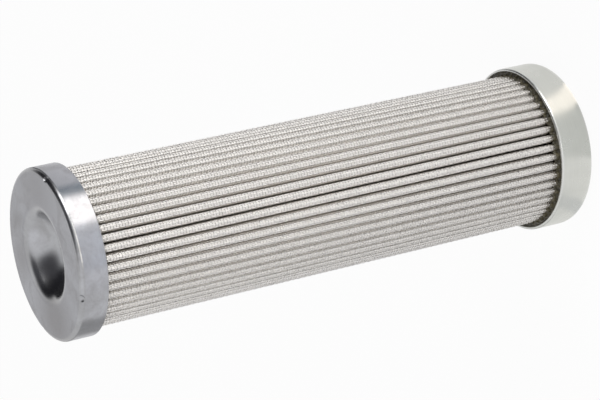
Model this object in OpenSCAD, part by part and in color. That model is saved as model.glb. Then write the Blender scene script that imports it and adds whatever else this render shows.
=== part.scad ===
// Pleated cartridge element of a hydraulic oil filter. It stands on its open end,
// with the middle of that end face at the origin and its axis along +Z. Millimetres.

/* [Overall] */
// Length over both end faces
element_length = 197.7; // [150:0.1:260]
// Diameter over the crests of the pleats, which both end caps fit round
pleat_od = 53.5; // [50:0.1:60]
// Thickness of the steel sheet that both end caps are pressed from
cap_sheet = 1; // [0.8:0.1:1.2]
// Chamfer on the sheared edges of the skirts
edge_break = 0.2; // [0.05:0.05:0.3]

/* [Closed end cap] */
// Radial room between the pleats and the skirt
closed_skirt_room = 1.25; // [0.5:0.05:2]
// Height from the rim of the skirt to the end face
closed_cap_h = 9.9; // [8:0.1:14]
// Inside radius of the bend between the end face and the skirt
closed_bend_r = 0.7; // [0.3:0.05:1.2]
// Radius of the lip that leads from the end face into the dish
dish_lip_r = 4.4; // [2.5:0.1:6]
// Slope of the dish at its mouth, in degrees
dish_slope = 60; // [40:1:70]
// Radial room between the back of the dish and the core tube
dish_clearance = 0.5; // [0.2:0.1:1]
// Number of nicks that a ball-nosed punch leaves in the outer edge
nick_count = 4; // [2:1:8]
// Direction of the first nick, in degrees
nick_turn = -34; // [-90:1:90]
// Width of a nick round the edge
nick_w = 2.8; // [1.6:0.1:3]
// Depth of a nick, less than the sheet
nick_depth = 0.6; // [0.3:0.05:0.7]

/* [Open end cap] */
// Radial room between the pleats and the skirt
open_skirt_room = 1.55; // [0.5:0.05:2]
// Height from the end face to the rim of the skirt
open_cap_h = 13.8; // [11:0.1:18]
// Inside radius of the bend between the end face and the skirt
open_bend_r = 2.4; // [0.5:0.1:4]
// Flat left on the rim between its rolled outer edge and its broken inner edge
rim_flat = 0.1; // [0.05:0.05:0.3]
// Diameter of the bore that fits over the housing's spigot
bore_d = 22; // [20:0.5:25]
// Length of the straight collar round the bore
collar_h = 8; // [5:0.5:12]
// Inside radius of the small bends in the neck
neck_bend_r = 0.5; // [0.2:0.1:0.8]

/* [Seal] */
// Thickness of the O-ring's cord
seal_section = 3; // [2.8:0.1:4]
// How far the O-ring stands into the bore
seal_squeeze = 0.2; // [0.05:0.05:0.2]
// Room for the O-ring to move along the axis
seal_float = 0.2; // [0.1:0.05:0.5]
// Height of the ring that keeps the O-ring in
retainer_h = 2.2; // [1.5:0.1:4]
// Distance of the retaining ring above the neck's bend
retainer_set = 0.1; // [0:0.1:0.5]
// How much wider than the bore the retaining ring is, on the radius
retainer_relief = 0.3; // [0.1:0.1:0.6]

/* [Core tube] */
// Thickness of the perforated sheet
core_sheet = 1; // [0.6:0.1:1.5]
// Radial room between the core tube and the neck it slides over
core_clearance = 0.2; // [0.05:0.05:0.5]
// Diameter of the flow holes
core_hole_d = 5; // [2:0.1:5.5]
// Number of holes in one row round the tube
core_hole_count = 8; // [6:1:8]
// Distance between rows along the tube
core_row_pitch = 8; // [7:0.5:16]
// Width of the butt seam where the rolled sheet meets
core_seam = 0.4; // [0.2:0.1:0.6]

/* [Pleats] */
// Number of pleats
pleat_count = 49; // [36:1:52]
// Outside radius of a fold at its crest, half the width of a ridge
crest_r = 1.33; // [1.15:0.01:1.45]
// Outside radius of a fold at its root
root_r = 0.1; // [0.05:0.01:0.2]
// Room between the pleats and the core tube
pleat_clearance = 0.1; // [0.05:0.05:0.5]
// Least room between the clean sides of one pleat at its root
fold_room = 0.02; // [0.01:0.01:0.1]
// Turn of the whole pleat pack, in degrees
pleat_turn = 0.7; // [-4:0.1:4]

/* [Layers, from the dirty side to the clean side] */
// Woven steel mesh on the outside, two wires thick
outer_mesh_t = 0.4; // [0.3:0.01:0.45]
// Spun fleece under it
outer_fleece_t = 0.07; // [0.04:0.01:0.12]
// Coarse glass-fibre layer
prefilter_t = 0.1; // [0.06:0.01:0.15]
// Fine glass-fibre layer
main_filter_t = 0.13; // [0.08:0.01:0.2]
// Spun fleece behind it
inner_fleece_t = 0.06; // [0.04:0.01:0.12]
// Fine woven steel mesh on the inside
inner_mesh_t = 0.14; // [0.08:0.01:0.2]

/* [Adhesive] */
// Depth of the adhesive's surface below each skirt's rim
potting_recess = 1.5; // [0.5:0.1:3]
// Thickness of the adhesive between the sheet and the ends of pleats and tube
potting_film = 0.7; // [0.3:0.1:1.5]

/* [Hidden] */
$fn = 96;

// Straight pieces along a fold's bend, and a length that passes any face it has to cut
crest_steps = 6;
root_steps = 4;
past = 1;

// Radii from the bore outwards: seal chamber, neck, core tube
bore_r = bore_d / 2;
chamber_r = bore_r - seal_squeeze + seal_section;
neck_r = chamber_r + cap_sheet;
core_in_r = neck_r + core_clearance;
core_out_r = core_in_r + core_sheet;

// Heights in the open end: retaining ring, O-ring, its seat, the collar's end
neck_bend_z = cap_sheet + neck_bend_r;
retainer_z = neck_bend_z + retainer_set;
seal_z = retainer_z + retainer_h + seal_float;
seat_z = seal_z + seal_section;
collar_z = seat_z + neck_bend_z;
collar_end = collar_z + collar_h;

// Outer radii of the skirts and bends, and the places of the flat stretches between bends
closed_r = pleat_od / 2 + closed_skirt_room + cap_sheet;
open_r = pleat_od / 2 + open_skirt_room + cap_sheet;
closed_bend_out = closed_bend_r + cap_sheet;
open_bend_out = open_bend_r + cap_sheet;
neck_bend_x = neck_r + neck_bend_r;
collar_x = bore_r + cap_sheet + neck_bend_r;

// The dish: a lip bent over its mouth, then one spherical bowl that ends inside the core.
// Its heights are measured from the closed cap's end face.
dish_mouth_r = core_in_r - dish_clearance - cap_sheet * sin(dish_slope);
lip_x = dish_mouth_r + dish_lip_r * sin(dish_slope);
bowl_r = dish_mouth_r / sin(dish_slope);
bowl_z = bowl_r * cos(dish_slope) - dish_lip_r * (1 - cos(dish_slope));
dish_depth = bowl_r + cap_sheet - bowl_z;
dish_bottom = element_length - dish_depth;

// Surfaces of the adhesive, ends of the pleats, and the tube's ends under the dish's lip
open_potting_z = open_cap_h - potting_recess;
closed_potting_depth = closed_cap_h - potting_recess;
closed_potting_z = element_length - closed_potting_depth;
pleat_start = cap_sheet + potting_film;
pleat_end = element_length - pleat_start;
lip_under = dish_lip_r - cap_sheet;
core_end_depth = dish_lip_r + potting_film - sqrt(pow(lip_under, 2) - pow(lip_x - core_in_r, 2));
core_end = element_length - core_end_depth;

// Depth of each layer's surfaces below the crest, dirty side first
layer_depths = [0, outer_mesh_t,
                outer_mesh_t + outer_fleece_t,
                outer_mesh_t + outer_fleece_t + prefilter_t,
                outer_mesh_t + outer_fleece_t + prefilter_t + main_filter_t,
                outer_mesh_t + outer_fleece_t + prefilter_t + main_filter_t + inner_fleece_t,
                outer_mesh_t + outer_fleece_t + prefilter_t + main_filter_t + inner_fleece_t
                + inner_mesh_t];
pack_t = layer_depths[6];

// Circles that the fold centres lie on. The roots sit on the core tube, unless there are
// so many pleats that their clean sides touch each other first.
pitch = 360 / pleat_count;
crest_x = pleat_od / 2 - crest_r;
root_x = max(core_out_r + pleat_clearance + pack_t + root_r,
             (pack_t + root_r + fold_room) / sin(pitch / 2));

// Direction in which a straight flank faces, measured from its crest's own direction. The
// flank is the inner common tangent of the crest's circle and the root's circle.
reach = [crest_x - root_x * cos(pitch / 2), -root_x * sin(pitch / 2)];
flank = atan2(reach[1], reach[0]) + 90 + asin((crest_r + root_r) / norm(reach));

// Points on an arc round c, from angle a0 to a1
function polar(r, a) = [r * cos(a), r * sin(a)];
function arc(c, r, a0, a1, steps) =
    [for (i = [0:steps]) c + polar(r, a0 + (a1 - a0) * i / steps)];

// One fold's crest and the root after it, at a depth below the dirty surface. Every depth
// has the same centres and flank directions, so the layers lie face to face.
function crest_points(k, depth) =
    let (a = k * pitch + pleat_turn)
    arc(polar(crest_x, a), crest_r - depth, a - flank, a + flank, crest_steps);
function root_points(k, depth) =
    let (a = (k + 0.5) * pitch + pleat_turn, half = flank - pitch / 2)
    arc(polar(root_x, a), root_r + depth, a + 180 + half, a + 180 - half, root_steps);

// Closed outline of the whole pleated surface at a depth
module pleat_outline(depth) {
    polygon([for (k = [0:pleat_count - 1]) each concat(crest_points(k, depth), root_points(k, depth))]);
}

// The band of the pleat pack between two depths, as a section across the axis
module pleat_section(from, to) {
    difference() {
        pleat_outline(from);
        pleat_outline(to);
    }
}

// Layer number i of the pack, as long as the pleats
module layer(i) {
    translate([0, 0, pleat_start])
        linear_extrude(height = pleat_end - pleat_start)
            pleat_section(layer_depths[i], layer_depths[i + 1]);
}

// Bent stretch of cap sheet: inside radius r round c, between angles a0 and a1
module bend(c, r, a0, a1) {
    far = 2 * (r + cap_sheet);
    translate(c)
        intersection() {
            difference() {
                circle(r + cap_sheet);
                circle(r);
            }
            polygon([[0, 0], polar(far, a0), polar(far, (a0 + a1) / 2), polar(far, a1)]);
        }
}

// Skirt of an end cap, from the height of its bend to its rim, with the sheared edge broken.
// The points are reversed where the rim is the lower end, so that they always turn one way.
module skirt(outer_r, bend_z, rim_z) {
    up = sign(rim_z - bend_z);
    inner_r = outer_r - cap_sheet;
    back = rim_z - up * edge_break;
    points = [[inner_r, bend_z], [outer_r, bend_z], [outer_r, back], [outer_r - edge_break, rim_z],
              [inner_r + edge_break, rim_z], [inner_r, back]];
    last = len(points) - 1;
    polygon([for (i = [0:last]) points[up > 0 ? i : last - i]]);
}

// The closed cap, its nicks and its adhesive are drawn downwards from the cap's end face
module closed_cap_profile() {
    skirt(closed_r, -closed_bend_out, -closed_cap_h);
    bend([closed_r - closed_bend_out, -closed_bend_out], closed_bend_r, 0, 90);
    translate([lip_x, -cap_sheet])
        square([closed_r - closed_bend_out - lip_x, cap_sheet]);
    dish_profile();
}

// The dish is drawn round the bowl's centre and turned so that the joint of bowl and lip lies
// along one axis. Both run past their other ends and are trimmed at the axis and the flat face.
module dish_profile() {
    trim = 10;
    intersection() {
        translate([0, bowl_z])
            rotate(dish_slope) {
                bend([0, 0], bowl_r, -90 - dish_slope - trim, -90);
                bend([0, -bowl_r - dish_lip_r], lip_under, 90 - dish_slope - trim, 90);
            }
        translate([0, -dish_depth - past])
            square([lip_x, dish_depth + 2 * past]);
    }
}

// Corner that the open cap's rim loses where its outer edge is rolled round. The radius takes
// all of the sheet but the flat and the broken inner edge.
module open_rim_waste() {
    rolled_r = cap_sheet - edge_break - rim_flat;
    translate([open_r - rolled_r, open_cap_h - rolled_r])
        difference() {
            square(rolled_r + past);
            circle(rolled_r);
        }
}

module open_cap_profile() {
    chamber_bend_x = chamber_r - neck_bend_r;
    difference() {
        skirt(open_r, open_bend_out, open_cap_h);
        open_rim_waste();
    }
    bend([open_r - open_bend_out, open_bend_out], open_bend_r, -90, 0);
    translate([neck_bend_x, 0])
        square([open_r - open_bend_out - neck_bend_x, cap_sheet]);
    bend([neck_bend_x, neck_bend_z], neck_bend_r, 180, 270);
    translate([chamber_r, neck_bend_z])
        square([cap_sheet, seat_z - neck_bend_r - neck_bend_z]);
    bend([chamber_bend_x, seat_z - neck_bend_r], neck_bend_r, 0, 90);
    translate([collar_x, seat_z])
        square([chamber_bend_x - collar_x, cap_sheet]);
    bend([collar_x, collar_z], neck_bend_r, 180, 270);
    translate([bore_r, collar_z])
        square([cap_sheet, collar_h]);
}

// Nicks in the outer edge: a ball's imprint in the middle of the bend, square to its slope
module nicks() {
    ball_r = (pow(nick_w / 2, 2) + pow(nick_depth, 2)) / (2 * nick_depth);
    out = (closed_bend_out + ball_r - nick_depth) / sqrt(2);
    for (k = [0:nick_count - 1])
        rotate([0, 0, nick_turn + k * 360 / nick_count])
            translate([closed_r - closed_bend_out + out, 0, out - closed_bend_out])
                sphere(ball_r);
}

module closed_end_cap() {
    color([0.62, 0.63, 0.66])
        translate([0, 0, element_length])
            difference() {
                rotate_extrude() closed_cap_profile();
                nicks();
            }
}

module open_end_cap() {
    color([0.72, 0.73, 0.71])
        rotate_extrude() open_cap_profile();
}

// Pocket that the ends of the pleats leave in the adhesive
module pleat_pocket(z0, z1) {
    translate([0, 0, z0])
        linear_extrude(height = z1 - z0)
            pleat_section(0, pack_t);
}

// Adhesive fills the trough of the closed cap, round the pleats and outside the core tube
module closed_end_adhesive() {
    color([0.2, 0.17, 0.14])
        difference() {
            translate([0, 0, element_length])
                rotate_extrude()
                    difference() {
                        translate([core_in_r, -closed_potting_depth])
                            square([closed_r - cap_sheet - core_in_r, closed_potting_depth - cap_sheet]);
                        closed_cap_profile();
                        closed_cap_waste();
                        translate([core_in_r - past, -closed_potting_depth - past])
                            square([core_sheet + past, closed_potting_depth - core_end_depth + past]);
                    }
            pleat_pocket(closed_potting_z - past, pleat_end);
        }
}

// What lies outside the sheet at the cap's inner corner and above the lip's underside
module closed_cap_waste() {
    corner = [closed_r - closed_bend_out, -closed_bend_out];
    difference() {
        translate(corner) square(closed_bend_out + past);
        translate(corner) circle(closed_bend_r);
    }
    difference() {
        translate([core_in_r - past, -dish_lip_r])
            square([lip_x - core_in_r + past, dish_lip_r + past]);
        translate([lip_x, -dish_lip_r]) circle(lip_under);
    }
}

// Adhesive fills the trough of the open cap in the same way
module open_end_adhesive() {
    color([0.2, 0.17, 0.14])
        difference() {
            rotate_extrude()
                difference() {
                    translate([core_in_r, cap_sheet])
                        square([open_r - cap_sheet - core_in_r, open_potting_z - cap_sheet]);
                    open_cap_waste();
                    translate([core_in_r - past, pleat_start])
                        square([core_sheet + past, open_potting_z - pleat_start + past]);
                }
            pleat_pocket(pleat_start, open_potting_z + past);
        }
}

// What lies outside the sheet at the two inner corners of the open cap
module open_cap_waste() {
    corner_x = open_r - open_bend_out;
    difference() {
        translate([corner_x, cap_sheet - past]) square([open_bend_out, open_bend_r + past]);
        translate([corner_x, open_bend_out]) circle(open_bend_r);
    }
    difference() {
        translate([neck_r - past, cap_sheet - past]) square(neck_bend_r + past);
        translate([neck_bend_x, neck_bend_z]) circle(neck_bend_r);
    }
}

module outer_mesh() {
    color([0.8, 0.79, 0.76]) layer(0);
}

module outer_fleece() {
    color([0.86, 0.84, 0.8]) layer(1);
}

module prefilter_layer() {
    color([0.93, 0.92, 0.9]) layer(2);
}

module main_filter_layer() {
    color([0.95, 0.95, 0.94]) layer(3);
}

module inner_fleece() {
    color([0.86, 0.84, 0.8]) layer(4);
}

module inner_mesh() {
    color([0.7, 0.7, 0.7]) layer(5);
}

// Bead of adhesive that closes the pack where its two ends meet, in one root at the back
module side_seam() {
    k = round(90 / pitch);
    color([0.3, 0.26, 0.2])
        translate([0, 0, open_potting_z])
            linear_extrude(height = closed_potting_z - open_potting_z)
                polygon(concat([crest_points(k, 0)[crest_steps]], root_points(k, 0),
                               [crest_points(k + 1, 0)[0]]));
}

// Rows of holes, each turned by half a hole from the last, between the collar and the dish
module core_holes() {
    low = collar_end + core_hole_d;
    high = min(dish_bottom, closed_potting_z) - core_hole_d;
    rows = floor((high - low) / core_row_pitch);
    first = (low + high - rows * core_row_pitch) / 2;
    step = 360 / core_hole_count;
    for (row = [0:rows], k = [0:core_hole_count - 1])
        translate([0, 0, first + row * core_row_pitch])
            rotate([0, 90, (k + (row % 2) / 2) * step])
                translate([0, 0, core_in_r - past])
                    cylinder(d = core_hole_d, h = core_sheet + 2 * past);
}

// Perforated sheet rolled into a tube, with its butt seam between two columns of holes
module core_tube() {
    length = core_end - pleat_start;
    color([0.6, 0.61, 0.63])
        difference() {
            translate([0, 0, pleat_start])
                cylinder(r = core_out_r, h = length);
            translate([0, 0, pleat_start - past])
                cylinder(r = core_in_r, h = length + 2 * past);
            core_holes();
            rotate([0, 0, 90 / core_hole_count])
                translate([core_in_r - past, -core_seam / 2, pleat_start - past])
                    cube([core_sheet + 2 * past, core_seam, length + 2 * past]);
        }
}

module seal_ring() {
    color([0.08, 0.08, 0.08])
        translate([0, 0, seal_z + seal_section / 2])
            rotate_extrude()
                translate([chamber_r - seal_section / 2, 0])
                    circle(d = seal_section);
}

// Turned ring pressed into the neck, with a lead-in for the spigot
module seal_retainer() {
    inner_r = bore_r + retainer_relief;
    lead = retainer_h / 3;
    color([0.7, 0.7, 0.68])
        translate([0, 0, retainer_z])
            rotate_extrude()
                polygon([[inner_r + lead, 0], [chamber_r, 0], [chamber_r, retainer_h],
                         [inner_r, retainer_h], [inner_r, lead]]);
}

closed_end_cap();
open_end_cap();
closed_end_adhesive();
open_end_adhesive();
outer_mesh();
outer_fleece();
prefilter_layer();
main_filter_layer();
inner_fleece();
inner_mesh();
side_seam();
core_tube();
seal_ring();
seal_retainer();
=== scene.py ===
import bpy
import math
import numpy as np
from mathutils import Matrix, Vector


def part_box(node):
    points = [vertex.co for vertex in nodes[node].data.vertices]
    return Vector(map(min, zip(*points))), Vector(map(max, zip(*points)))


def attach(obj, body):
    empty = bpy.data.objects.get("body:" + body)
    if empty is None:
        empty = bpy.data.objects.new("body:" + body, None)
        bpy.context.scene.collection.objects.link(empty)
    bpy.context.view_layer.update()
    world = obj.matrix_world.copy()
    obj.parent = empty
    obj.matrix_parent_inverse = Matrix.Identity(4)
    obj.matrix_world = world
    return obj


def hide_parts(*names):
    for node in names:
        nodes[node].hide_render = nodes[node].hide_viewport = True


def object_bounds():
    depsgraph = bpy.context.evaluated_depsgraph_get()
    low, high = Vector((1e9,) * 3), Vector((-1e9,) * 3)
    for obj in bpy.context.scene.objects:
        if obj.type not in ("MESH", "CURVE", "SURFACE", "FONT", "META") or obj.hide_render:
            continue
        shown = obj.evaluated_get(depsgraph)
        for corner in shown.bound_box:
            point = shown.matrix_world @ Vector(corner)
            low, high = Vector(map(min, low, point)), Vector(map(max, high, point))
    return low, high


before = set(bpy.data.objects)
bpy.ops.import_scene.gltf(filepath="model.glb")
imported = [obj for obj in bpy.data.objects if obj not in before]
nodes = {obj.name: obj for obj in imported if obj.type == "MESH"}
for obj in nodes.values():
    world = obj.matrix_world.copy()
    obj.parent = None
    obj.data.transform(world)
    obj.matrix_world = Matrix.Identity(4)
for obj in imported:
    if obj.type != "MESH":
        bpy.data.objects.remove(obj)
cadLow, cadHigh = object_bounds()
mm = 0.001


def nodePoints(name):
    # The points of a construction node's mesh in mm, one row each
    mesh = nodes[name].data
    flat = np.empty(len(mesh.vertices) * 3)
    mesh.vertices.foreach_get("co", flat)
    return flat.reshape(-1, 3) / mm


elementLength = cadHigh.z / mm
crestOuterRadius = np.hypot(*nodePoints("outer_mesh")[:, :2].T).max()
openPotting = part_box("side_seam")[0].z / mm      # surface of the adhesive in the open cap
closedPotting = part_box("side_seam")[1].z / mm    # surface of the adhesive in the closed cap
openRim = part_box("open_end_cap")[1].z / mm
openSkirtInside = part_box("open_end_adhesive")[1].x / mm
print("frame loaded: %.1f mm long, crests at radius %.2f mm" % (elementLength, crestOuterRadius))


# The photograph's camera: where it stands, how far it is rolled, and its lens
photoView = {
    "elevation": 26.6927,    # degrees above the middle of the element
    "roll": 102.6721,        # degrees, which lays the element across the picture
    "distance": 0.84796,     # metres from the middle of the element
    "aimRight": -1.8944,     # how far the aim is off the middle, in pixels
    "aimUp": 9.4497,
    "focalPixels": 2474.74,
    "pictureWidth": 600.0,
    "sensorWidth": 36.0,     # mm
    "clip": (0.01, 50.0),    # metres
}


def placeInScene(data, right, up, back, at):
    # A camera or a lamp looks along its own -Z, so its X, Y and Z are laid along right, up and back
    axes = np.eye(4)
    axes[:3] = np.stack([right, up, back, at], -1)
    item = bpy.data.objects.new(data.name, data)
    bpy.context.scene.collection.objects.link(item)
    item.matrix_world = axes.T.tolist()
    return item


def makeCamera(v):
    # It stands on a line that rises from the element's middle. The aim is turned off that line by
    # pixels over focal length, sideways and then upwards, and the picture is rolled last.
    elevation, roll = math.radians(v["elevation"]), math.radians(v["roll"])
    pan, tilt = v["aimRight"] / v["focalPixels"], v["aimUp"] / v["focalPixels"]
    back = np.array([0.0, -math.cos(elevation), math.sin(elevation)])
    right = np.array([1.0, 0.0, 0.0])
    up = np.cross(right, -back)
    rightPanned = right * math.cos(pan) + back * math.sin(pan)
    aheadPanned = right * math.sin(pan) - back * math.cos(pan)
    upTilted = up * math.cos(tilt) - aheadPanned * math.sin(tilt)
    ahead = up * math.sin(tilt) + aheadPanned * math.cos(tilt)
    rightRolled = rightPanned * math.cos(roll) - upTilted * math.sin(roll)
    upRolled = rightPanned * math.sin(roll) + upTilted * math.cos(roll)
    at = np.array([0.0, 0.0, elementLength * mm / 2]) + back * v["distance"]
    data = bpy.data.cameras.new("photoCamera")
    data.sensor_width = v["sensorWidth"]
    data.lens = v["focalPixels"] * v["sensorWidth"] / v["pictureWidth"]
    data.clip_start, data.clip_end = v["clip"]
    bpy.context.scene.camera = placeInScene(data, rightRolled, upRolled, -ahead, at)


makeCamera(photoView)
print("camera placed")


# Helpers that the materials share. In the dictionaries a noise is given as its spots to a metre
# and its detail, then its roughness and distortion where they aren't the usual ones, a range as
# the noise's values where a change begins and is full, and a bump's depth in mm.
bareMetal, noMetal = 1.0, 0.0
noiseMiddle = (0.3, 0.7)     # most of a noise's values lie between these
patternMap = "weave"         # the UV map that patterns on added pieces follow


def newMaterial(name, metallic, roughness=None):
    # The roughness is left out where a noise will set it
    material = bpy.data.materials.new(name)
    material.use_nodes = True
    shader = material.node_tree.nodes["Principled BSDF"]
    shader.inputs["Metallic"].default_value = metallic
    if roughness is not None:
        shader.inputs["Roughness"].default_value = roughness
    return material, shader


def addNode(shader, kind, **settings):
    # Any node of the material or sky will do as shader, here and in the helpers below
    node = shader.id_data.nodes.new("ShaderNode" + kind)
    for setting, value in settings.items():
        setattr(node, setting, value)
    return node


def link(shader, start, end):
    # Joins one node's output to another's input
    shader.id_data.links.new(start, end)


def objectCoords(shader, stretch=(1.0, 1.0, 1.0)):
    # Object coordinates, in metres, stretched so that a pattern can run along one axis
    mapping = addNode(shader, "Mapping")
    mapping.inputs["Scale"].default_value = stretch
    link(shader, addNode(shader, "TexCoord").outputs["Object"], mapping.inputs["Vector"])
    return mapping.outputs["Vector"]


def heightOnPiece(shader):
    # Height above the element's foot, in metres
    split = addNode(shader, "SeparateXYZ")
    link(shader, addNode(shader, "TexCoord").outputs["Object"], split.inputs[0])
    return split.outputs["Z"]


def axisDistance(shader):
    # Distance from the element's axis, in metres: the place's length with its height left out
    flat = addNode(shader, "VectorMath", operation="MULTIPLY")
    flat.inputs[1].default_value = (1.0, 1.0, 0.0)
    link(shader, addNode(shader, "TexCoord").outputs["Object"], flat.inputs[0])
    radius = addNode(shader, "VectorMath", operation="LENGTH")
    link(shader, flat.outputs[0], radius.inputs[0])
    return radius.outputs["Value"]


def roundCoords(shader):
    # Distance from the axis, nothing, and height: a pattern of rings round the axis
    rings = addNode(shader, "CombineXYZ")
    link(shader, axisDistance(shader), rings.inputs["X"])
    link(shader, heightOnPiece(shader), rings.inputs["Z"])
    return rings.outputs[0]


def noise(shader, vector, perMetre, detail, roughness=0.5, distortion=0.0):
    # A cloudy pattern of values from 0 to 1, most of them near the middle
    node = addNode(shader, "TexNoise")
    node.inputs["Scale"].default_value = perMetre
    node.inputs["Detail"].default_value = detail
    node.inputs["Roughness"].default_value = roughness
    node.inputs["Distortion"].default_value = distortion
    link(shader, vector, node.inputs["Vector"])
    return node.outputs["Fac"]


def spread(shader, value, low, high, toLow=0.0, toHigh=1.0):
    # Carries the values from low to high over to a new range, and holds them at its ends
    node = addNode(shader, "MapRange")
    for name, number in (("From Min", low), ("From Max", high), ("To Min", toLow), ("To Max", toHigh)):
        node.inputs[name].default_value = number
    link(shader, value, node.inputs["Value"])
    return node.outputs["Result"]


def blendColours(shader, amount, first, second, how="MIX"):
    # Colours are lists of three numbers, or outputs of other nodes
    node = addNode(shader, "Mix", data_type="RGBA", blend_type=how)
    if isinstance(amount, float):
        node.inputs["Factor"].default_value = amount
    else:
        link(shader, amount, node.inputs["Factor"])
    for name, colour in (("A", first), ("B", second)):
        socket = [s for s in node.inputs if s.name == name and s.type == "RGBA"][0]
        if isinstance(colour, (list, tuple)):
            socket.default_value = (*colour, 1.0)
        else:
            link(shader, colour, socket)
    return [s for s in node.outputs if s.type == "RGBA"][0]


def combine(shader, operation, first, second):
    # Arithmetic on two values, either of which may be a plain number
    node = addNode(shader, "Math", operation=operation)
    for socket, value in zip(node.inputs, (first, second)):
        if isinstance(value, (int, float)):
            socket.default_value = value
        else:
            link(shader, value, socket)
    return node.outputs[0]


def paint(shader, value, between, first, second):
    # The base colour goes from first to second while the value crosses the range between
    amount = spread(shader, value, *between)
    link(shader, blendColours(shader, amount, first, second), shader.inputs["Base Color"])


def varyRoughness(shader, value, roughness):
    # The roughness goes from its first number to its second over the middle of a noise's values
    link(shader, spread(shader, value, *noiseMiddle, *roughness), shader.inputs["Roughness"])


def bump(shader, height, depth):
    # Tilts the surface as if it rose by the depth where the height goes from 0 to 1
    node = addNode(shader, "Bump")
    node.inputs["Distance"].default_value = depth * mm
    link(shader, height, node.inputs["Height"])
    link(shader, node.outputs["Normal"], shader.inputs["Normal"])


def setNode(name, material):
    # Dresses a construction node in one material
    mesh = nodes[name].data
    mesh.materials.clear()
    mesh.materials.append(material)


def addMesh(name, points, faceGroups, material, uv=None):
    # points in mm, each group of faces as rows of point numbers, uv as one pair for each corner
    mesh = bpy.data.meshes.new(name)
    mesh.vertices.add(len(points))
    mesh.vertices.foreach_set("co", (points * mm).astype(np.float32).ravel())
    corners = np.concatenate([group.ravel() for group in faceGroups]).astype(np.int32)
    sizes = np.concatenate([np.full(len(group), group.shape[1]) for group in faceGroups])
    mesh.loops.add(len(corners))
    mesh.loops.foreach_set("vertex_index", corners)
    mesh.polygons.add(len(sizes))
    mesh.polygons.foreach_set("loop_start", (np.cumsum(sizes) - sizes).astype(np.int32))
    mesh.polygons.foreach_set("use_smooth", np.ones(len(sizes), bool))
    if uv is not None:
        mesh.uv_layers.new(name=patternMap).data.foreach_set("uv", uv.astype(np.float32).ravel())
    mesh.update(calc_edges=True)
    mesh.materials.append(material)
    piece = bpy.data.objects.new(name, mesh)
    bpy.context.scene.collection.objects.link(piece)
    return piece


def gridFaces(rows, columns, closed):
    # Quads of a grid of points stored row by row, with the last column joined to the first if closed
    row = np.arange(rows - 1)[:, None] * columns
    step = np.arange(columns if closed else columns - 1)[None, :]
    after = (step + 1) % columns
    return np.stack([row + step, row + columns + step, row + columns + after, row + after], -1).reshape(-1, 4)


# Pressed steel of the closed end cap: smooth satin sheet with faint stains and a few dull smears
closedCapSteel = {
    "clean": (0.40, 0.405, 0.42),
    "stained": (0.275, 0.27, 0.273),
    "stainNoise": (130.0, 4.0, 0.6, 0.6),    # about 8 mm from stain to stain
    "stainRange": (0.38, 0.72),
    "stainStrength": 0.8,
    "speckNoise": (900.0, 2.0),
    "speckRange": (0.55, 0.75),
    "speckStrength": 0.2,
    "roughness": (0.23, 0.27),
    "unevenNoise": (60.0, 1.0),              # the sheet isn't quite flat
    "unevenDepth": 0.009,
    # Dull smears on the flat end: places in metres, and full inside the first radius, none
    # beyond the second
    "smears": [
        {"at": (-0.0208, 0.002, 0.198), "radii": (0.004, 0.019), "strength": 1.0},
        {"at": (0.0215, -0.006, 0.198), "radii": (0.003, 0.020), "strength": 0.6},
        {"at": (0.001, 0.0205, 0.198), "radii": (0.002, 0.010), "strength": 0.7},
    ],
}


def makeClosedCapSteel(v):
    # The dullness is the greatest of the stains' and each smear's, which falls off with distance
    # from the smear's middle. Specks are laid over it.
    material, shader = newMaterial("closedCapSteel", bareMetal)
    stain = noise(shader, objectCoords(shader), *v["stainNoise"])
    dull = spread(shader, stain, *v["stainRange"], 0.0, v["stainStrength"])
    for smear in v["smears"]:
        away = addNode(shader, "VectorMath", operation="DISTANCE")
        away.inputs[1].default_value = smear["at"]
        link(shader, addNode(shader, "TexCoord").outputs["Object"], away.inputs[0])
        amount = spread(shader, away.outputs["Value"], *smear["radii"], smear["strength"], 0.0)
        dull = combine(shader, "MAXIMUM", dull, amount)
    sheet = blendColours(shader, dull, v["clean"], v["stained"])
    speck = noise(shader, objectCoords(shader), *v["speckNoise"])
    specks = spread(shader, speck, *v["speckRange"], 0.0, v["speckStrength"])
    link(shader, blendColours(shader, specks, sheet, v["stained"]), shader.inputs["Base Color"])
    varyRoughness(shader, stain, v["roughness"])
    bump(shader, noise(shader, objectCoords(shader), *v["unevenNoise"]), v["unevenDepth"])
    return material


# Satin steel of the open end cap: lighter, with fine lines round the skirt and a highlight
# painted along the rim's edge
openCapSteel = {
    "light": (0.65, 0.655, 0.63),
    "dull": (0.57, 0.575, 0.55),
    "lineNoise": (2500.0, 2.0),
    "lineShare": 0.4,                        # of the change from light to dull; clouds make the rest
    "lineDepth": 0.004,
    "cloudNoise": (90.0, 4.0, 0.6),
    "cloudRange": (0.35, 0.65),
    "roughness": (0.24, 0.34),
    # The colour of a highlight painted along the rim's edge
    "paintedEdgeHighlight": (0.70, 0.68, 0.64),
    "edgeDepth": 0.55,                       # mm below the rim
}


def makeOpenCapSteel(v):
    # The lines' share and the clouds' add up. The painted edge highlight comes in over the lower
    # half of its depth.
    material, shader = newMaterial("openCapSteel", bareMetal)
    cloudy = noise(shader, objectCoords(shader), *v["cloudNoise"])
    lines = noise(shader, roundCoords(shader), *v["lineNoise"])
    tone = combine(shader, "ADD", spread(shader, lines, *noiseMiddle, 0.0, v["lineShare"]),
                   spread(shader, cloudy, *v["cloudRange"], 0.0, 1.0 - v["lineShare"]))
    sheet = blendColours(shader, tone, v["light"], v["dull"])
    # Painted highlight: the base colour lightens just under the rim, where the edge catches the light
    edge = spread(shader, heightOnPiece(shader), (openRim - v["edgeDepth"]) * mm,
                  (openRim - v["edgeDepth"] / 2) * mm)
    link(shader, blendColours(shader, edge, sheet, v["paintedEdgeHighlight"]), shader.inputs["Base Color"])
    varyRoughness(shader, cloudy, v["roughness"])
    bump(shader, lines, v["lineDepth"])
    return material


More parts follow.
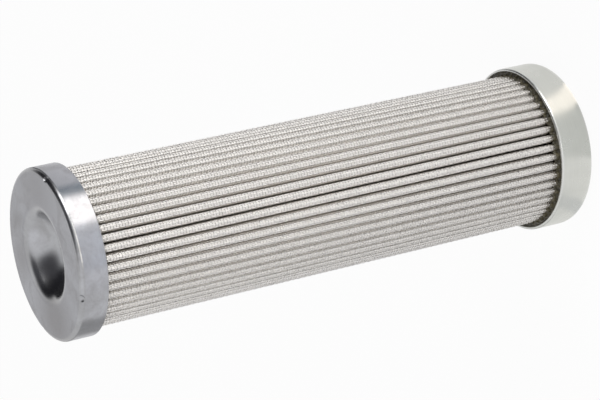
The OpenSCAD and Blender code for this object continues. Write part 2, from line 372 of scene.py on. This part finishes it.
# Cured adhesive: olive brown and glossy, with an uneven skin
adhesiveSkin = {
    "dark": (0.038, 0.034, 0.020),
    "brown": (0.115, 0.10, 0.06),
    "roughness": 0.3,
    "lumpNoise": (750.0, 3.0, 0.6),
    "lumpRange": (0.36, 0.62),
    "lumpDepth": 0.3,
}


def makeAdhesive(v):
    # Lumps of one noise darken the skin and raise it
    material, shader = newMaterial("adhesive", noMetal, v["roughness"])
    lumps = noise(shader, objectCoords(shader), *v["lumpNoise"])
    paint(shader, lumps, v["lumpRange"], v["dark"], v["brown"])
    bump(shader, lumps, v["lumpDepth"])
    return material


# Adhesive soaks a little way up the open end of the cloth and tints it. Heights are in mm.
soaked = {
    "tint": (0.25, 0.21, 0.14),
    "full": 13.8,
    "none": 16.6,
    "ragged": 1.8,             # how far its edge wanders
    "raggedNoise": (800.0, 3.0),
}


def soakColour(shader, v, colour):
    # The tint fades out between two heights, to which a noise adds a little up or down
    half = v["ragged"] * mm / 2
    ragged = noise(shader, objectCoords(shader), *v["raggedNoise"])
    height = combine(shader, "ADD", heightOnPiece(shader), spread(shader, ragged, *noiseMiddle, -half, half))
    amount = spread(shader, height, v["full"] * mm, v["none"] * mm, 1.0, 0.0)
    return blendColours(shader, amount, colour, v["tint"])


# Woven wire: bright, slightly warm, with duller patches
meshWire = {
    "bright": (0.885, 0.866, 0.843),
    "dull": (0.785, 0.767, 0.742),
    "roughness": 0.42,
    "patchNoise": (700.0, 3.0),
    "patchRange": (0.4, 0.7),
}


def makeMeshWire(v):
    # Patches of a noise from bright to dull, tinted where the adhesive soaked in
    material, shader = newMaterial("meshWire", bareMetal, v["roughness"])
    patches = noise(shader, objectCoords(shader), *v["patchNoise"])
    colour = blendColours(shader, spread(shader, patches, *v["patchRange"]), v["bright"], v["dull"])
    link(shader, soakColour(shader, soaked, colour), shader.inputs["Base Color"])
    return material


# The same wire cloth down the flanks and round the roots, woven in the shader, with shade painted in towards
# the roots
meshWallLook = {
    "wire": (0.95, 0.92, 0.88),
    "gap": (0.64, 0.61, 0.575),
    "weaveRange": (0.0, 0.5),       # the weave's height, 0 between wires and 1 on top of them
    "weaveDepth": 0.2,
    "paintedRootShade": (0.62, 0.59, 0.555),    # painted shade takes the colour down to this share at the roots
    "rootShadeFrom": 25.9,               # mm from the axis
    "rootShadeTo": 24.6,
    "metallic": 0.5,
    "roughness": 0.42,
}


def makeMeshWall(v):
    # The piece's own UV counts wires both ways. Two sines of it, multiplied, give the over and
    # under, and the colour is multiplied by the painted root shade as the radius falls.
    material, shader = newMaterial("meshWall", v["metallic"], v["roughness"])
    split = addNode(shader, "SeparateXYZ")
    link(shader, addNode(shader, "UVMap", uv_map=patternMap).outputs["UV"], split.inputs[0])
    waves = []
    for axis in "XY":
        angle = combine(shader, "MULTIPLY", split.outputs[axis], math.pi)
        waves.append(combine(shader, "SINE", angle, 0.0))
    height = combine(shader, "ABSOLUTE", combine(shader, "MULTIPLY", *waves), 0.0)
    cloth = blendColours(shader, spread(shader, height, *v["weaveRange"]), v["gap"], v["wire"])
    # Painted shade: the colour darkens towards the roots, where shade falls between the pleats
    depth = spread(shader, axisDistance(shader), v["rootShadeFrom"] * mm, v["rootShadeTo"] * mm)
    shaded = blendColours(shader, depth, cloth, blendColours(shader, 1.0, cloth, v["paintedRootShade"], "MULTIPLY"))
    link(shader, soakColour(shader, soaked, shaded), shader.inputs["Base Color"])
    bump(shader, height, v["weaveDepth"])
    return material


# Fibre layers: matt off-white, with the fibres' own fine noise
fibreLooks = {
    "spunFleece": {"light": (0.95, 0.93, 0.90), "dark": (0.86, 0.83, 0.79), "noise": (5000.0, 4.0, 0.7)},
    "glassFibrePaper": {"light": (0.88, 0.87, 0.84), "dark": (0.78, 0.76, 0.72), "noise": (7000.0, 4.0, 0.7)},
}
fibreFinish = {
    "roughness": 0.85,
    "sheen": 0.15,
    "stretch": (1.0, 1.0, 0.35),    # fibres lie along the element
    "range": (0.35, 0.65),
    "depth": 0.03,
}


def makeFibre(name, look, v):
    # One noise, drawn out along the element, colours the fibres and raises them
    material, shader = newMaterial(name, noMetal, v["roughness"])
    fibres = noise(shader, objectCoords(shader, v["stretch"]), *look["noise"])
    paint(shader, fibres, v["range"], look["light"], look["dark"])
    shader.inputs["Sheen Weight"].default_value = v["sheen"]
    bump(shader, fibres, v["depth"])
    return material


# Fine inner mesh: a weave too fine to model, as a bright and dark grain
fineWire = {
    "light": (0.6, 0.6, 0.59),
    "dark": (0.3, 0.3, 0.3),
    "roughness": 0.4,
    "noise": (9000.0, 2.0),
    "range": (0.4, 0.6),
    "depth": 0.03,
}


def makeFineWire(v):
    # One grain gives the colour and the bump
    material, shader = newMaterial("fineWire", bareMetal, v["roughness"])
    grain = noise(shader, objectCoords(shader), *v["noise"])
    paint(shader, grain, v["range"], v["light"], v["dark"])
    bump(shader, grain, v["depth"])
    return material


# Perforated core: plain sheet steel with rolling marks along the tube
coreSteel = {
    "light": (0.58, 0.59, 0.61),
    "dark": (0.45, 0.46, 0.48),
    "roughness": (0.28, 0.42),
    "stretch": (1.0, 1.0, 0.06),
    "noise": (1500.0, 3.0),
    "range": (0.35, 0.65),
    "depth": 0.006,
}


def makeCoreSteel(v):
    # One noise, drawn out along the tube, gives the colour, the roughness and the bump
    material, shader = newMaterial("coreSteel", bareMetal)
    streaks = noise(shader, objectCoords(shader, v["stretch"]), *v["noise"])
    paint(shader, streaks, v["range"], v["light"], v["dark"])
    varyRoughness(shader, streaks, v["roughness"])
    bump(shader, streaks, v["depth"])
    return material


# Black nitrile rubber with a faint bloom and a fine skin
sealRubber = {
    "black": (0.018, 0.018, 0.019),
    "bloom": (0.05, 0.05, 0.05),
    "roughness": (0.42, 0.6),
    "noise": (350.0, 3.0),
    "range": (0.45, 0.75),
    "skinNoise": (4000.0, 2.0),
    "depth": 0.008,
}


def makeSealRubber(v):
    # The bloom goes by a coarse noise, and the skin's bump by a fine one
    material, shader = newMaterial("sealRubber", noMetal)
    bloom = noise(shader, objectCoords(shader), *v["noise"])
    paint(shader, bloom, v["range"], v["black"], v["bloom"])
    varyRoughness(shader, bloom, v["roughness"])
    bump(shader, noise(shader, objectCoords(shader), *v["skinNoise"]), v["depth"])
    return material


# Turned ring: bright, with the tool's lines round it
retainerSteel = {
    "light": (0.72, 0.71, 0.68),
    "dark": (0.6, 0.59, 0.56),
    "roughness": 0.3,
    "noise": (9000.0, 1.0),
    "range": (0.35, 0.65),
    "depth": 0.006,
}


def makeRetainerSteel(v):
    # The noise reads distance from the axis and height only, so that its lines run round
    material, shader = newMaterial("retainerSteel", bareMetal, v["roughness"])
    lines = noise(shader, roundCoords(shader), *v["noise"])
    paint(shader, lines, v["range"], v["light"], v["dark"])
    bump(shader, lines, v["depth"])
    return material


adhesive = makeAdhesive(adhesiveSkin)
fleece = makeFibre("spunFleece", fibreLooks["spunFleece"], fibreFinish)
glassFibre = makeFibre("glassFibrePaper", fibreLooks["glassFibrePaper"], fibreFinish)
nodeMaterials = {
    "closed_end_cap": makeClosedCapSteel(closedCapSteel),
    "open_end_cap": makeOpenCapSteel(openCapSteel),
    "closed_end_adhesive": adhesive,
    "open_end_adhesive": adhesive,
    "side_seam": adhesive,
    "outer_fleece": fleece,
    "inner_fleece": fleece,
    "prefilter_layer": glassFibre,
    "main_filter_layer": glassFibre,
    "inner_mesh": makeFineWire(fineWire),
    "core_tube": makeCoreSteel(coreSteel),
    "seal_ring": makeSealRubber(sealRubber),
    "seal_retainer": makeRetainerSteel(retainerSteel),
}
for name, material in nodeMaterials.items():
    setNode(name, material)
print("construction nodes dressed")


# The outer mesh's folds, as the construction has them, and its wires. Sizes in mm.
meshFolds = {
    "pleatCount": 49,
    "crestRadius": 1.33,     # outside of the fold at a crest
    "rootCentre": 17.1,      # radius of the circle that the roots' centres lie on
    "rootRadius": 0.1,       # outside of the fold at a root
    "turn": 0.7,             # degrees, of the whole pack
    "middleDepth": 0.2,      # the middle of the cloth lies this far under its surface
}
# A wave round the pack is its weight, how many of it go round, and where it starts in radians
wireCloth = {
    "wiresPerPleat": 20,     # even, so that over and under carry on from pleat to pleat
    "wiresOnCrest": 5,       # wires along each crest that are modelled one by one, an odd number
    "halfWidth": 0.2,        # a wire is rolled a little flat
    "halfThickness": 0.12,
    "wave": 0.11,            # how far a wire goes over and under
    "drift": 0.3,            # the cross wires run a little out of true round the pack
    "driftWaves": ((0.6, 2, 1.0), (0.4, 5, 0.0)),
    "embed": 0.5,            # how far the cloth goes on into the adhesive
    "sectors": 7,            # pieces that the modelled wires are made in, seven pleats each
}
wallBand = {
    "outerDepth": 0.06,      # the band's surfaces lie inside the cloth's
    "innerDepth": 0.38,
    "startsPastArc": 0.12,   # where it takes over from the single wires, past the crest's arc
    "flankSteps": 2,
    "rootSteps": 8,
}

pitchAngle = 2 * math.pi / meshFolds["pleatCount"]
packTurn = math.radians(meshFolds["turn"])
crestCentre = crestOuterRadius - meshFolds["crestRadius"]
clothRadius = meshFolds["crestRadius"] - meshFolds["middleDepth"]
reachX = crestCentre - meshFolds["rootCentre"] * math.cos(pitchAngle / 2)
reachY = meshFolds["rootCentre"] * math.sin(pitchAngle / 2)
reach = math.hypot(reachX, reachY)
foldRadii = meshFolds["crestRadius"] + meshFolds["rootRadius"]
flankAngle = math.pi / 2 - math.atan2(reachY, reachX) + math.asin(foldRadii / reach)
flankLength = math.sqrt(reach ** 2 - foldRadii ** 2)
rootClothRadius = meshFolds["rootRadius"] + meshFolds["middleDepth"]
arcLength = clothRadius * flankAngle
pleatLength = 2 * (arcLength + flankLength + rootClothRadius * (flankAngle - pitchAngle / 2))
wirePitch = pleatLength / wireCloth["wiresPerPleat"]
print("wire pitch %.3f mm, %.2f mm of cloth in each pleat" % (wirePitch, pleatLength))

# Corners of a wire's three-sided section: out from the cloth and across the wire
tubeSides = 3
cornersOut = np.array([1.0, -0.5, -0.5])
cornersAcross = np.array([0.0, 1.0, -1.0])


def waveMean(angle, waves):
    # The mean of a few sines of the angle round the element, by their weights
    weights = [weight for weight, count, start in waves]
    sines = [weight * np.sin(count * angle + start) for weight, count, start in waves]
    return sum(sines) / sum(weights)


def onCrest(s, outward):
    # The cloth near a crest, in the crest's own frame: an arc round the crest's centre for as
    # long as s lasts on it, then straight on along the flank. s is measured from the crest along
    # the middle of the cloth, and outward is the distance out from that middle.
    angle = np.clip(s / clothRadius, -flankAngle, flankAngle)
    past = s - clothRadius * angle
    normal = np.stack([np.cos(angle), np.sin(angle)], -1)
    along = np.stack([-np.sin(angle), np.cos(angle)], -1)
    centre = np.array([crestCentre, 0.0])
    point = centre + (clothRadius + outward)[..., None] * normal + past[..., None] * along
    return point, normal, along


def turned(points, angles):
    # Turns points about the element's axis. The angles have one axis more in front.
    c, s = np.cos(angles), np.sin(angles)
    x, y = points[..., 0], points[..., 1]
    return np.stack([x * c - y * s, x * s + y * c, np.broadcast_to(points[..., 2], (x * c).shape)], -1)


def onPleats(pleats, flat, up, drift):
    # One pleat's points, flat ones and their heights, turned to every pleat with its own drift
    shape = (len(pleats),) + flat.shape[:-1]
    solid = np.concatenate([np.broadcast_to(flat, shape + (2,)),
                            (np.broadcast_to(up, shape) + drift)[..., None]], -1)
    return turned(solid, (pleats * pitchAngle + packTurn)[:, None, None, None]).reshape(-1, 3)


def tubeFaces(tubes, rings, before):
    # Faces of tubes with three sides: a quad from each side of a ring to the next ring, and one
    # triangle over each end. Point number = before + (tube * rings + ring) * 3 + side.
    tube = np.arange(tubes)[:, None, None]
    ring = np.arange(rings - 1)[None, :, None]
    side = np.arange(tubeSides)[None, None, :]
    base = before + (tube * rings + ring) * tubeSides
    nextSide = (side + 1) % tubeSides
    walls = np.stack([base + side, base + nextSide, base + tubeSides + nextSide, base + tubeSides + side], -1)
    first = before + (np.arange(tubes) * rings * tubeSides)[:, None]
    startCap = first + np.array([2, 1, 0])
    endCap = first + (rings - 1) * tubeSides + np.array([0, 1, 2])
    return walls.reshape(-1, 4), np.concatenate([startCap, endCap])


# Heights at which the cross wires pass, the same on each pleat but for a slow drift
clothStart = openPotting - wireCloth["embed"]
clothEnd = closedPotting + wireCloth["embed"]
crossCount = int((clothEnd - clothStart - 2 * wireCloth["drift"]) / wirePitch)
crossStart = (clothStart + clothEnd - (crossCount - 1) * wirePitch) / 2
crossHeights = crossStart + np.arange(crossCount) * wirePitch
crossSign = np.where(np.arange(crossCount) % 2 == 0, 1.0, -1.0)


def driftOf(pleats):
    # How far each pleat's cross wires lie above or below true: a mean of sines of its azimuth
    drift = wireCloth["drift"] * waveMean(pleats * pitchAngle, wireCloth["driftWaves"])
    return drift[:, None, None, None]


def lengthWires(pleats):
    # Wires along the pleats: each is a tube with a three-sided section, whose centre goes over
    # and under the cross wires by a fixed wave. It has one ring at each crossing and one at each
    # end, and the rings at the ends don't drift.
    half = wireCloth["wiresOnCrest"] // 2
    number = np.arange(-half, half + 1)
    point, normal, along = onCrest(number * wirePitch, np.zeros(len(number)))
    sign = np.where(number % 2 == 0, 1.0, -1.0)
    heights = np.concatenate([[clothStart], crossHeights, [clothEnd]])
    moving = np.concatenate([[0.0], np.ones(crossCount), [0.0]])
    wave = wireCloth["wave"] * sign[:, None] * np.concatenate([[0.0], crossSign, [0.0]])[None, :]
    centre = point[:, None, :] + wave[..., None] * normal[:, None, :]
    out = wireCloth["halfThickness"] * cornersOut[:, None] * normal[:, None, :]
    wide = wireCloth["halfWidth"] * cornersAcross[:, None] * along[:, None, :]
    flat = centre[:, :, None, :] + (out + wide)[:, None]
    up = heights[None, :, None] + np.zeros(flat.shape[:-1])
    points = onPleats(pleats, flat, up, driftOf(pleats) * moving[None, None, :, None])
    return points, len(pleats) * len(number), len(heights)


def crossWires(pleats):
    # Wires over the crest: each follows the fold's arc and goes under the wires along the pleat
    # where they go over it, with a ring at each crossing, one between and one at each end.
    steps = np.arange(-wireCloth["wiresOnCrest"], wireCloth["wiresOnCrest"] + 1)
    crossing = np.where(steps % 2 != 0, 0.0, np.where(steps // 2 % 2 == 0, 1.0, -1.0))
    outward = -wireCloth["wave"] * crossing[None, :] * crossSign[:, None]
    point, normal, along = onCrest(np.broadcast_to(steps * wirePitch / 2, outward.shape), outward)
    thick = wireCloth["halfThickness"] * cornersOut
    flat = point[:, :, None, :] + thick[:, None] * normal[:, :, None, :]
    width = np.broadcast_to(-wireCloth["halfWidth"] * cornersAcross, flat.shape[:-1])
    points = onPleats(pleats, flat, crossHeights[:, None, None] + width, driftOf(pleats))
    return points, len(pleats) * crossCount, len(steps)


def makeWovenCrests(material):
    # The modelled wires, in sectors of the same number of pleats: one piece for each
    pieces = []
    perSector = meshFolds["pleatCount"] // wireCloth["sectors"]
    for sector in range(wireCloth["sectors"]):
        pleats = np.arange(sector * perSector, (sector + 1) * perSector, dtype=float)
        points, tubes, rings = lengthWires(pleats)
        morePoints, moreTubes, moreRings = crossWires(pleats)
        faceGroups = [*tubeFaces(tubes, rings, 0), *tubeFaces(moreTubes, moreRings, len(points))]
        pieces.append(addMesh("woven_crests_%d" % (sector + 1), np.concatenate([points, morePoints]),
                              faceGroups, material))
    return pieces


def makeMeshWalls(material):
    # One band for each root, in the root's own frame: down one flank, round the root's arc and up
    # the other flank, outer surface first and inner surface back, drawn along the element.
    v = wallBand
    half = flankAngle - pitchAngle / 2
    flankDown = np.linspace(v["startsPastArc"], flankLength, v["flankSteps"] + 1)
    turn = np.linspace(-half, half, v["rootSteps"] + 1)

    def outline(depth):
        # The flank runs from the end of the crest's arc to the root's, straight at this depth
        arc = meshFolds["rootCentre"] - (meshFolds["rootRadius"] + depth) * np.cos(turn)
        side = (meshFolds["rootRadius"] + depth) * np.sin(turn)
        root = np.stack([arc, side], -1)
        direction = np.array([math.sin(half), math.cos(half)])     # up the flank on the left side
        up = (flankLength - flankDown[:-1])[:, None]
        left = root[0] + up * direction * np.array([1.0, -1.0])
        right = root[-1] + up[::-1] * direction
        return np.concatenate([left, root, right])

    outer, inner = outline(v["outerDepth"]), outline(v["innerDepth"])
    count = len(outer)
    loop = np.concatenate([outer, inner[::-1]])
    ends = np.array([clothStart, clothEnd])
    roots = np.arange(meshFolds["pleatCount"]) + 0.5
    solid = np.concatenate([np.broadcast_to(loop, (2,) + loop.shape),
                            np.broadcast_to(ends[:, None, None], (2, len(loop), 1))], -1)
    points = turned(solid[None], (roots * pitchAngle + packTurn)[:, None, None])

    size = len(loop)
    index = np.arange(size)
    after = (index + 1) % size
    sides = np.stack([index, after, after + size, index + size], -1)
    run = np.arange(count - 1)
    lowEnd = np.stack([run, size - 1 - run, size - 2 - run, run + 1], -1)
    highEnd = np.stack([run + 1, size - 2 - run, size - 1 - run, run], -1) + size
    one = np.concatenate([sides, lowEnd, highEnd])
    faces = (one[None] + (np.arange(len(roots)) * 2 * size)[:, None, None]).reshape(-1, 4)

    # The UV counts wires from the crest across the cloth, and from half a wire below the first
    # cross wire up it
    steps = np.hypot(*np.diff(outer, axis=0).T)
    length = np.concatenate([[0.0], np.cumsum(steps)]) + arcLength + v["startsPastArc"]
    across = np.concatenate([length, length[::-1]]) / wirePitch
    allAcross = np.tile(np.tile(across, 2), len(roots))
    allUp = (points.reshape(-1, 3)[:, 2] - crossStart) / wirePitch + 0.5
    uv = np.stack([allAcross[faces], allUp[faces]], -1)
    return [addMesh("mesh_walls", points.reshape(-1, 3), [faces], material, uv)]


clothPieces = makeWovenCrests(makeMeshWire(meshWire)) + makeMeshWalls(makeMeshWall(meshWallLook))
for piece in clothPieces:
    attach(piece, "root")
    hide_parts("outer_mesh")
print("wire cloth woven: %d faces" % sum(len(p.data.polygons) for p in clothPieces))


# Adhesive that crept up between the pleats and the open cap's skirt before it set. Sizes in mm,
# heights above the adhesive's surface.
creepShape = {
    "columnsPerPleat": 16,
    "wallRise": 0.7,        # up the skirt's inner wall
    "crestRise": 2.0,       # up the crests
    "gapRise": 0.3,         # how much further it gets between two crests
    "uneven": 0.6,          # how much the crests' height varies
    "wallUneven": 0.5,      # the wall's height varies by this share of it
    "crestWaves": ((1, 7, 1.0), (1, 23, 4.0), (1, 61, 0.0), (1, 137, 0.0)),
    "wallWaves": ((1, 5, 2.0), (1, 17, 0.0), (1, 41, 3.0)),
    "valley": 0.97,         # share of a crest's half width at which the gap begins
    "wallFoot": 0.3,        # how far in from the wall it is half way down
    "trough": 0.15,         # height of the lowest place between wall and pleats
    "packFoot": (0.4, 0.5),     # out from the crests, and height, where it turns up them
    "thicker": (1.4, 1.3),      # how many times as thick the film is at this height
    "film": 0.1,            # thickness on the crests
    "topRound": 0.25,       # how far under the top the film's outside ends
    "topInside": 0.1,       # how far inside the crests' surface the top lies
    "inside": 0.35,         # and the back of it
    "depth": 0.35,          # how far it goes on below the adhesive's surface
}


def makeCreep(v):
    # Each column is a closed outline in the plane through the axis: from the skirt's wall down to
    # a shallow trough, up the pleats to a rounded top, and back underneath. Its inner radius
    # follows the crests' circles, with the gaps bridged, and its edges go by sums of sines.
    columns = meshFolds["pleatCount"] * v["columnsPerPleat"]
    angle = np.arange(columns) * 2 * math.pi / columns
    offset = (angle - packTurn + pitchAngle / 2) % pitchAngle - pitchAngle / 2
    across = np.minimum(np.abs(crestCentre * np.sin(offset)) / meshFolds["crestRadius"], v["valley"])
    crests = crestCentre * np.cos(offset) + meshFolds["crestRadius"] * np.sqrt(1 - across ** 2)
    top = (openPotting + v["crestRise"] + v["gapRise"] * across ** 2
           + v["uneven"] * waveMean(angle, v["crestWaves"]))
    wall = openPotting + v["wallRise"] + v["wallUneven"] * v["uneven"] * waveMean(angle, v["wallWaves"])
    low = np.full(columns, openPotting)
    skirt = np.full(columns, openSkirtInside)
    outline = [
        (skirt, wall),
        (skirt - v["wallFoot"], (wall + low) / 2),
        ((crests + skirt) / 2, low + v["trough"]),
        (crests + v["packFoot"][0], low + v["packFoot"][1]),
        (crests + v["film"] * v["thicker"][0], low + v["thicker"][1]),
        (crests + v["film"], top - v["topRound"]),
        (crests - v["topInside"], top),
        (crests - v["inside"], top - v["inside"]),
        (crests - v["inside"], low - v["depth"]),
        (skirt, low - v["depth"]),
    ]
    r, z = np.array(outline).swapaxes(0, 1)
    grid = np.stack([r * np.cos(angle), r * np.sin(angle), z], -1)
    row = np.arange(len(outline))[:, None]
    step = np.arange(columns)[None, :]
    above, after = (row + 1) % len(outline), (step + 1) % columns
    faces = np.stack([row * columns + step, row * columns + after,
                      above * columns + after, above * columns + step], -1).reshape(-1, 4)
    piece = addMesh("adhesive_creep", grid.reshape(-1, 3), [faces], adhesive)
    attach(piece, "root")


makeCreep(creepShape)
print("adhesive crept up the pleats")


# Studio: a pale floor that the element stands on, a soft sky, panels on the floor and a soft lamp
studio = {
    "floorRadius": 1.5,        # metres
    "floorDrop": 0.05,         # mm under the element's foot, so that no two faces share a plane
    "floorCells": (96, 6),     # quads round the floor, and from its middle to its edge
    "floorColour": (0.9, 0.9, 0.9),
    "floorRoughness": 0.9,
    "floorGlow": 0.93,         # how much of the floor's white doesn't depend on the lamp and sky
    "skyLow": (0.95, 0.95, 0.95),
    "skyHigh": (1.0, 1.0, 1.0),
}
# Soft dark and pale patches of the sky, which the dish and the caps' bends mirror, one for each
# azimuth. Azimuths count from +X towards +Y, and all angles are in degrees. A patch is full
# inside its inner angle and none beyond its outer one.
skyPatches = {
    "darkWall": {"azimuths": (22.0,), "elevation": 28.0, "inner": 25.0, "outer": 41.0,
                 "colour": (0.02, 0.02, 0.025)},
    "darkCeiling": {"azimuths": (-34.0,), "elevation": 58.0, "inner": 18.0, "outer": 42.0,
                    "colour": (0.10, 0.10, 0.11)},
    "paleWall": {"azimuths": (-140.0,), "elevation": 38.0, "inner": 10.0, "outer": 45.0,
                 "colour": (1.12, 1.12, 1.14)},
    "windows": {"azimuths": (-98.0, -78.0, -58.0), "elevation": -3.0, "inner": 6.0, "outer": 12.0,
                "colour": (3.2, 3.1, 2.9)},
    "greyWall": {"azimuths": (90.0,), "elevation": 27.0, "inner": 5.0, "outer": 22.0,
                 "colour": (0.77, 0.77, 0.79)},
}
# Rings of panels that lie on the floor round the element and show in its metal. Radii and
# heights are in metres. Each panel begins at an angle in degrees from +X and goes on to the next
# one, with a blend of some degrees between, and in its colour 1 is as bright as white paper and
# more is a light.
floorRings = {
    "insidePanels": {"low": 0.027, "high": 0.065, "height": 0.0001, "blend": 4.0, "panels": [
        (-66.0, (1.56, 1.48, 1.38)), (-47.0, (0.92, 0.92, 0.90)), (-165.0, (0.80, 0.81, 0.81)),
        (-148.0, (0.97, 0.97, 0.95)), (-108.0, (0.77, 0.78, 0.76))]},
    "nearPanels": {"low": 0.065, "high": 0.34, "height": 0.0002, "blend": 5.0, "panels": [
        (-61.0, (1.5, 1.47, 1.43)), (-22.0, (0.60, 0.65, 0.70)), (-3.0, (1.10, 1.10, 1.13)),
        (38.0, (0.95, 0.95, 0.97)), (85.0, (0.20, 0.20, 0.20)), (165.0, (0.55, 0.55, 0.56)),
        (205.0, (1.0, 1.0, 1.02)), (240.0, (1.15, 1.17, 1.22))]},
    "middlePanels": {"low": 0.34, "high": 0.60, "height": 0.0002, "blend": 3.0, "panels": [
        (-61.0, (3.9, 3.75, 3.65)), (-22.0, (0.20, 0.28, 0.36)), (-3.0, (1.20, 1.20, 1.25)),
        (38.0, (0.88, 0.88, 0.90)), (125.0, (0.50, 0.50, 0.51)), (165.0, (1.05, 1.05, 1.07)),
        (210.0, (1.10, 1.10, 1.15)), (240.0, (0.93, 0.97, 1.08))]},
    "outsidePanels": {"low": 0.60, "high": 1.5, "height": 0.0003, "blend": 6.0, "panels": [
        (-102.0, (1.05, 1.04, 1.02)), (-38.0, (1.0, 1.0, 1.0)), (-12.0, (0.06, 0.06, 0.07)),
        (66.0, (0.95, 0.95, 0.95)), (95.0, (0.55, 0.55, 0.55)), (165.0, (0.95, 0.95, 0.95))]},
}
ringPoints = {"around": 121, "across": 9}
# Lamps: place and what it points at in metres, size across and up in metres, and power in watts
lamps = {
    "sideBox": {"at": (0.75, -0.45, 0.30), "aim": (0.0, 0.0, 0.1), "size": (0.5, 0.6), "watts": 3.0},
}


def flatCircles(radius, angle, height):
    # Points on circles round the axis at one height, all in mm: a circle for each radius and a
    # point for each angle
    return np.stack([np.outer(radius, np.cos(angle)), np.outer(radius, np.sin(angle)),
                     np.full((len(radius), len(angle)), height)], -1).reshape(-1, 3)


def makeFloor(v):
    # A disc as rings of quads round its centre, whose radii go by the square of the ring's
    # number, a hair under the element's foot. It glows to the camera and in reflections, and the
    # rest of its white takes the element's shadow.
    around, rings = v["floorCells"]
    angle = np.arange(around) * 2 * math.pi / around
    radius = v["floorRadius"] / mm * (np.arange(rings + 1) / rings) ** 2
    material, shader = newMaterial("paleFloor", noMetal, v["floorRoughness"])
    shader.inputs["Base Color"].default_value = (*v["floorColour"], 1.0)
    rays = addNode(shader, "LightPath").outputs
    seen = combine(shader, "MAXIMUM", rays["Is Camera Ray"], rays["Is Glossy Ray"])
    seenThrough = combine(shader, "MAXIMUM", seen, rays["Is Transmission Ray"])
    mix = addNode(shader, "MixShader")
    link(shader, combine(shader, "MULTIPLY", seenThrough, v["floorGlow"]), mix.inputs[0])
    link(shader, shader.outputs["BSDF"], mix.inputs[1])
    link(shader, addNode(shader, "Emission").outputs[0], mix.inputs[2])
    link(shader, mix.outputs[0], shader.id_data.nodes["Material Output"].inputs["Surface"])
    floor = addMesh("floor", flatCircles(radius, angle, -v["floorDrop"]),
                    [gridFaces(rings + 1, around, True)], material)


def makeFloorRing(name, v):
    # A flat ring of quads just over the floor. Its UV's first number is the azimuth as a share of
    # a turn, and the shader picks the panel's colour by it. Only reflections see the ring.
    around, across = ringPoints["around"], ringPoints["across"]
    angle = np.linspace(-math.pi, math.pi, around)
    radius = np.linspace(v["low"], v["high"], across) / mm
    faces = gridFaces(across, around, False)
    share = np.tile(angle / (2 * math.pi) + 0.5, across)
    away = np.repeat(np.linspace(0.0, 1.0, across), around)
    uv = np.stack([share[faces], away[faces]], -1)

    material, shader = newMaterial(name, noMetal)
    tree = shader.id_data
    glow = addNode(shader, "Emission")
    link(glow, glow.outputs[0], tree.nodes["Material Output"].inputs["Surface"])
    tree.nodes.remove(shader)
    split = addNode(glow, "SeparateXYZ")
    link(glow, addNode(glow, "UVMap", uv_map=patternMap).outputs["UV"], split.inputs[0])
    ramp = addNode(glow, "ValToRGB")
    link(glow, split.outputs["X"], ramp.inputs["Fac"])
    stops = sorted(((begin + 180.0) % 360.0, colour) for begin, colour in v["panels"])
    last = stops[-1][1]
    elements = ramp.color_ramp.elements
    elements[0].position, elements[0].color = 0.0, (*last, 1.0)
    elements[1].position, elements[1].color = 1.0, (*last, 1.0)
    for begin, colour in stops:
        before = elements.new((begin - v["blend"] / 2) / 360.0)
        before.color = (*last, 1.0)
        after = elements.new((begin + v["blend"] / 2) / 360.0)
        after.color = (*colour, 1.0)
        last = colour
    link(glow, ramp.outputs["Color"], glow.inputs["Color"])
    panels = addMesh(name, flatCircles(radius, angle, v["height"] / mm), [faces], material, uv)
    panels.visible_camera = False
    panels.visible_diffuse = False
    panels.visible_shadow = False


def towards(azimuth, elevation):
    # The direction with this azimuth and elevation, in degrees, as a line one metre long
    turn, rise = math.radians(azimuth), math.radians(elevation)
    return math.cos(turn) * math.cos(rise), math.sin(turn) * math.cos(rise), math.sin(rise)


def makeSky(v, patches):
    # The sky's colour goes by height, and each patch is laid over it by the angle between its
    # middle and the direction looked in. The camera sees white, as it sees the floor.
    world = bpy.data.worlds.new("studioSky")
    bpy.context.scene.world = world
    world.use_nodes = True
    background = world.node_tree.nodes["Background"]
    looked = addNode(background, "TexCoord").outputs["Generated"]
    split = addNode(background, "SeparateXYZ")
    link(background, looked, split.inputs[0])
    colour = blendColours(background, split.outputs["Z"], v["skyLow"], v["skyHigh"])
    for patch in patches.values():
        full, none = math.cos(math.radians(patch["inner"])), math.cos(math.radians(patch["outer"]))
        for azimuth in patch["azimuths"]:
            angle = addNode(background, "VectorMath", operation="DOT_PRODUCT")
            angle.inputs[1].default_value = towards(azimuth, patch["elevation"])
            link(background, looked, angle.inputs[0])
            inside = spread(background, angle.outputs["Value"], none, full)
            inside.node.interpolation_type = "SMOOTHSTEP"
            colour = blendColours(background, inside, colour, patch["colour"])
    link(background, colour, background.inputs["Color"])
    mix = addNode(background, "MixShader")
    link(background, addNode(background, "LightPath").outputs["Is Camera Ray"], mix.inputs[0])
    link(background, background.outputs[0], mix.inputs[1])
    link(background, addNode(background, "Background").outputs[0], mix.inputs[2])
    link(background, mix.outputs[0], world.node_tree.nodes["World Output"].inputs["Surface"])


def addLamp(name, v):
    # The lamp's back is the line from its aim to it, and its side is level
    data = bpy.data.lights.new(name, "AREA")
    data.shape = "RECTANGLE"
    data.size, data.size_y = v["size"]
    data.energy = v["watts"]
    away = np.array(v["at"]) - np.array(v["aim"])
    away = away / np.linalg.norm(away)
    side = np.cross([0.0, 0.0, 1.0], away)
    side = side / np.linalg.norm(side)
    placeInScene(data, side, np.cross(away, side), away, v["at"])


makeFloor(studio)
for name, settings in floorRings.items():
    makeFloorRing(name, settings)
makeSky(studio, skyPatches)
for name, settings in lamps.items():
    addLamp(name, settings)
bpy.context.scene.view_settings.view_transform = "Standard"
print("studio set")
